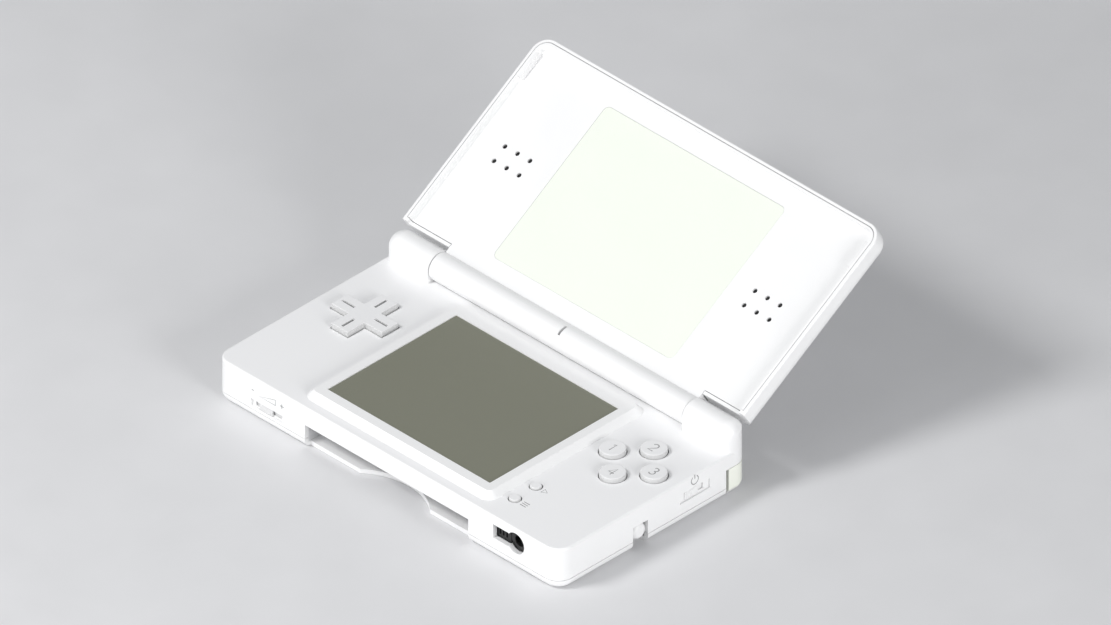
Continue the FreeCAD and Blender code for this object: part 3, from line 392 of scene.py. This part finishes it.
def make_materials():
    """One look for each of the record's material slots, and a few for added pieces."""
    return {
        # the level deck's slightly lighter white is painted light, making up for the weaker key light on level
        # faces
        "case_white": case_paint("case_white", (0.90, 0.90, 0.90), (0.92, 0.92, 0.925)),
        "key_white": moulded("key_white", (0.88, 0.88, 0.88), 0.38, bump=0.2),
        # the keys' greyer sides are painted shade
        "key_cap": key_paint("key_cap", (0.86, 0.86, 0.865), (0.62, 0.62, 0.62)),
        "shoulder_tint": moulded("shoulder_tint", (0.93, 0.95, 0.86), 0.25, coat=0.3),
        "slider_grey": moulded("slider_grey", (0.74, 0.74, 0.74), 0.45),
        "touch_screen": screen_film(
            "touch_screen", (0.215, 0.218, 0.168), (0.18, 0.182, 0.142), 0.5, 0.1
        ),
        "upper_screen": screen_film(
            "upper_screen", (0.87, 0.905, 0.82), (0.82, 0.86, 0.77), 0.4, 0.15
        ),
        "display_glass": dark_glass("display_glass"),
        "plate_steel": metal("plate_steel", (0.60, 0.61, 0.62), 0.35),
        "screw_steel": metal("screw_steel", (0.52, 0.52, 0.53), 0.3),
        "black_plastic": moulded("black_plastic", (0.012, 0.012, 0.012), 0.4, bump=0.3, mottle=0.1),
        "inner_plastic": moulded("inner_plastic", (0.70, 0.70, 0.71), 0.5, bump=0.25),
        "battery_grey": moulded("battery_grey", (0.10, 0.10, 0.11), 0.5, bump=0.2, mottle=0.06),
        "board_green": circuit_board("board_green"),
        "rubber_grey": rubbery("rubber_grey", (0.50, 0.50, 0.50)),
        "stop_rubber": rubbery("stop_rubber", (0.84, 0.84, 0.84)),
        "print_grey": ink_and_groove_shade("print_grey", (0.30, 0.30, 0.30)),
        # the direction pad's groove lines are painted shade
        "groove_painted_shade": ink_and_groove_shade("groove_painted_shade", (0.26, 0.26, 0.26)),
        "contact_gold": metal("contact_gold", (0.83, 0.62, 0.28), 0.25),
        "speaker_cloth": woven_mesh("speaker_cloth"),
    }


def dress_nodes(looks):
    """Give every CAD node the look of its material slot, and every key the key_cap look."""
    slot_of = {part["node"]: part["material_slot"] for part in frame["record"]["subparts"]}
    for name, node in nodes.items():
        is_key = name.startswith(("round_button", "menu_button")) or name == "dpad"
        look = looks["key_cap" if is_key else slot_of[name]]
        for slot in node.material_slots:
            slot.material = look
        if not node.material_slots:
            node.data.materials.append(look)


# ---------------------------------------------------------------- ink marks, and painted shade in the direction pad's engraved grooves
def arc(centre, radius, start, end, steps=14):
    """Points along a round stretch, in the mark's own plane; angles in degrees."""
    points = []
    for i in range(steps + 1):
        angle = math.radians(start + (end - start) * i / steps)
        points.append((centre[0] + radius * math.cos(angle), centre[1] + radius * math.sin(angle)))
    return points


# widths of ink lines and of the painted groove shade, and the places of marks; line widths and outlines are in
# millimetres
KEY_PEN = 0.34
SYMBOL_PEN = 0.26
WALL_PEN = 0.3
GRIP_PEN = 0.6
GRIP_LINE = (4.2, 8.4)           # start and end of a grip line, from the pad's middle
GROOVE_DEPTH = 0.27 * MM
SYMBOL_GAP = 2.8 * MM            # from a small key's middle to its symbol
VOLUME_MARK = (-46.2 * MM, 9.4 * MM)   # across and up the front wall
POWER_MARK = (15.8 * MM, 12.0 * MM)    # along and up the right wall
DIGITS = {
    "1": [[(-0.55, 0.95), (0.15, 1.6), (0.15, -1.6)]],
    "2": [arc((0, 0.7), 0.9, 165, -35) + [(-0.9, -1.6), (0.95, -1.6)]],
    "3": [arc((0, 0.8), 0.8, 150, -90) + arc((0, -0.75), 0.87, 85, -150)],
    "4": [[(0.45, -1.6), (0.45, 1.6), (-0.95, -0.65), (1.0, -0.65)]],
}


def line_mesh(name, paths, pen):
    """Round lines along paths, as one mesh in the paths' own plane and units."""
    curve = bpy.data.curves.new(name, "CURVE")
    curve.dimensions = "3D"
    curve.bevel_depth = pen / 2
    curve.bevel_resolution = 2
    for path in paths:
        closed = path[0] == path[-1]
        points = path[:-1] if closed else path
        spline = curve.splines.new("POLY")
        spline.points.add(len(points) - 1)
        for point, (u, v) in zip(spline.points, points):
            point.co = (u, v, 0, 1)
        spline.use_cyclic_u = closed
    curve.use_fill_caps = True
    drawn = bpy.data.objects.new(name + "_drawn", curve)
    bpy.context.scene.collection.objects.link(drawn)
    bpy.context.view_layer.update()
    mesh = bpy.data.meshes.new_from_object(drawn)
    bpy.data.objects.remove(drawn)
    mesh.name = name
    mesh.materials.clear()
    return mesh


def stroke_mark(name, paths, pen, origin, right, up, body, looks, look="print_grey"):
    """Draw paths, in millimetres, as fine flattened lines on a surface of the object."""
    mesh = line_mesh(name, paths, pen)
    outward = right.cross(up)
    for vertex in mesh.vertices:
        u, v, w = vertex.co * MM
        vertex.co = origin + right * u + up * v + outward * (w * MARK_FLATTEN)
    add_piece(name, mesh, looks[look], body)


def add_key_marks(looks):
    """A number on each round key, and a symbol beside each small key."""
    for number, paths in DIGITS.items():
        key = "round_button_" + number
        low, high = corners(key)
        top = Vector(((low.x + high.x) / 2, (low.y + high.y) / 2, high.z))
        stroke_mark("key_number_" + number, paths, KEY_PEN, top, X, Y, key, looks)
    triangle = [[(0, -0.9), (1.6, 0), (0, 0.9), (0, -0.9)]]
    bars = [[(0, 0.8), (2.2, 0.8)], [(0, 0), (2.2, 0)], [(0, -0.8), (2.2, -0.8)]]
    for key, paths in (("menu_button_2", triangle), ("menu_button_1", bars)):
        centre = middle(key)
        place = Vector((centre.x + SYMBOL_GAP, centre.y, DECK_HEIGHT))
        stroke_mark(key + "_symbol", paths, SYMBOL_PEN, place, X, Y, "base", looks)


def add_grip_lines(looks):
    """A grey line in the groove on each arm of the direction pad: painted shade on the groove's bottom."""
    centre = middle("dpad")
    start, end = GRIP_LINE
    across = [[(sign * start, 0), (sign * end, 0)] for sign in (1, -1)]
    along = [[(0, sign * start), (0, sign * end)] for sign in (1, -1)]
    place = Vector((centre.x, centre.y, corners("dpad")[1].z - GROOVE_DEPTH))
    look = "groove_painted_shade"
    stroke_mark("dpad_lines", across + along, GRIP_PEN, place, X, Y, "dpad", looks, look)


def add_wall_marks(looks):
    """Symbols for the two sliders: a rising wedge between minus and plus, and the on-off sign."""
    front = corners("lower_case")[0].y
    right = corners("lower_case")[1].x
    volume = [
        [(-5.9, 0), (-5.1, 0)],
        [(5.0, 0), (6.4, 0)],
        [(5.7, -0.7), (5.7, 0.7)],
        [(-3.0, -0.9), (3.2, -0.9), (3.2, 0.9), (-3.0, -0.9)],
    ]
    place = Vector((VOLUME_MARK[0], front, VOLUME_MARK[1]))
    stroke_mark("volume_symbol", volume, WALL_PEN, place, X, Z, "base", looks)
    power = [arc((0, 0), 1.35, 125, 415, 24), [(0, 0.35), (0, 1.7)]]
    place = Vector((right, *POWER_MARK))
    stroke_mark("power_symbol", power, WALL_PEN, place, Y, Z, "base", looks)


# ---------------------------------------------------------------- small added pieces
MOST_CHAMFER = 0.3           # a chamfer's largest share of a bar's side
CONTACT_CHAMFER = 0.08 * MM
# a row of contacts: how many, their spacing and their width
BAY_ROW = (32, 1.5 * MM, 0.8 * MM)
CARD_ROW = (17, 1.6 * MM, 0.9 * MM)
BAY_CONTACT_Y = (0.1 * MM, 1.5 * MM)     # behind the connector's front face
BAY_CONTACT_Z = (3.8 * MM, 4.3 * MM)
CARD_CONTACT_Y = (0.7 * MM, 6.0 * MM)    # behind the reader's front face
CARD_CONTACT_Z = (0.6 * MM, 1.1 * MM)    # above the reader's underside


def bars_mesh(name, boxes, chamfer):
    """A mesh of many small bars with chamfered ends; each box is a low and a high corner."""
    verts = []
    faces = []
    for low, high in boxes:
        start = len(verts)
        size = high - low
        cut = min(chamfer, MOST_CHAMFER * min(size))
        for z, inset in ((low.z, cut), (low.z + cut, 0), (high.z - cut, 0), (high.z, cut)):
            verts += [
                (low.x + inset, low.y + inset, z),
                (high.x - inset, low.y + inset, z),
                (high.x - inset, high.y - inset, z),
                (low.x + inset, high.y - inset, z),
            ]
        faces.append((start + 3, start + 2, start + 1, start))
        for ring in range(3):
            base = start + ring * 4
            for side in range(4):
                after = (side + 1) % 4
                faces.append((base + side, base + after, base + 4 + after, base + 4 + side))
        faces.append((start + 12, start + 13, start + 14, start + 15))
    mesh = bpy.data.meshes.new(name)
    mesh.from_pydata(verts, [], faces)
    return mesh


def add_piece(name, mesh, look, body):
    """Add a mesh as a piece that rides on a body."""
    mesh.materials.append(look)
    piece = bpy.data.objects.new(name, mesh)
    bpy.context.scene.collection.objects.link(piece)
    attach(piece, body)


def shifted(limits, start):
    return tuple(limit + start for limit in limits)


def contact_row(name, row, centre_x, y, z, looks):
    """A row of gold contacts along X, fixed in the base."""
    count, pitch, wide = row
    boxes = []
    for i in range(count):
        x = centre_x + (i - (count - 1) / 2) * pitch
        boxes.append((Vector((x - wide / 2, y[0], z[0])), Vector((x + wide / 2, y[1], z[1]))))
    mesh = bars_mesh(name, boxes, CONTACT_CHAMFER)
    add_piece(name, mesh, looks["contact_gold"], "base")


def add_contacts(looks):
    """Gold contacts in the cartridge bay and in the card reader."""
    bay_y = shifted(BAY_CONTACT_Y, corners("cartridge_connector")[0].y)
    contact_row("bay_contacts", BAY_ROW, 0, bay_y, BAY_CONTACT_Z, looks)
    reader = corners("game_card_reader")[0]
    card_y = shifted(CARD_CONTACT_Y, reader.y)
    card_z = shifted(CARD_CONTACT_Z, reader.z)
    contact_row("card_contacts", CARD_ROW, middle("game_card_reader").x, card_y, card_z, looks)


SPEAKER_PITCH = (4.83 * MM, 5.02 * MM)      # spacing of the speaker holes, across and along the lid
HOLE_CLOTH_R = 0.71 * MM
CLOTH_R = 6.6 * MM
CLOTH_LEVEL = (-0.35 * MM, 0.25 * MM)    # height above the hinge axis along the lid's face, and bow
PRESSED_LEVEL = (1.05 * MM, 0.15 * MM)   # the same, for the cloth inside a hole


def bowed_disc(verts, faces, x, along, radius, level, bow):
    """Add a disc that lies along the lid and bows outwards a little in its middle."""
    rings, spokes = 4, 24
    first = len(verts)
    verts.append(tuple(lid_point(x, along, level + bow)))
    for ring in range(1, rings + 1):
        part = ring / rings
        for spoke in range(spokes):
            turn = 2 * math.pi * spoke / spokes
            place = lid_point(
                x + radius * part * math.cos(turn),
                along + radius * part * math.sin(turn),
                level + bow * (1 - part * part),
            )
            verts.append(tuple(place))
    for spoke in range(spokes):
        after = (spoke + 1) % spokes
        faces.append((first, first + 1 + spoke, first + 1 + after))
        for ring in range(rings - 1):
            inner = first + 1 + ring * spokes
            outer = inner + spokes
            faces.append((inner + spoke, outer + spoke, outer + after, inner + after))


def add_speaker_cloths(looks):
    """Black cloth over each speaker's cone, with a small disc of it inside each of the six holes."""
    for side in ("left", "right"):
        centre = middle("speaker_" + side)
        along = (centre - HINGE).dot(ALONG_LID)
        verts = []
        faces = []
        bowed_disc(verts, faces, centre.x, along, CLOTH_R, *CLOTH_LEVEL)
        for i in (-1, 0, 1):
            for j in (-0.5, 0.5):
                x = centre.x + i * SPEAKER_PITCH[0]
                a = along + j * SPEAKER_PITCH[1]
                bowed_disc(verts, faces, x, a, HOLE_CLOTH_R, *PRESSED_LEVEL)
        mesh = bpy.data.meshes.new("speaker_cloth_" + side)
        mesh.from_pydata(verts, [], faces)
        mesh.shade_smooth()
        add_piece("speaker_cloth_" + side, mesh, looks["speaker_cloth"], "lid")


def main():
    add_camera()
    add_lights()
    add_floor()
    looks = make_materials()
    dress_nodes(looks)
    add_key_marks(looks)
    add_grip_lines(looks)
    add_wall_marks(looks)
    add_contacts(looks)
    add_speaker_cloths(looks)


main()
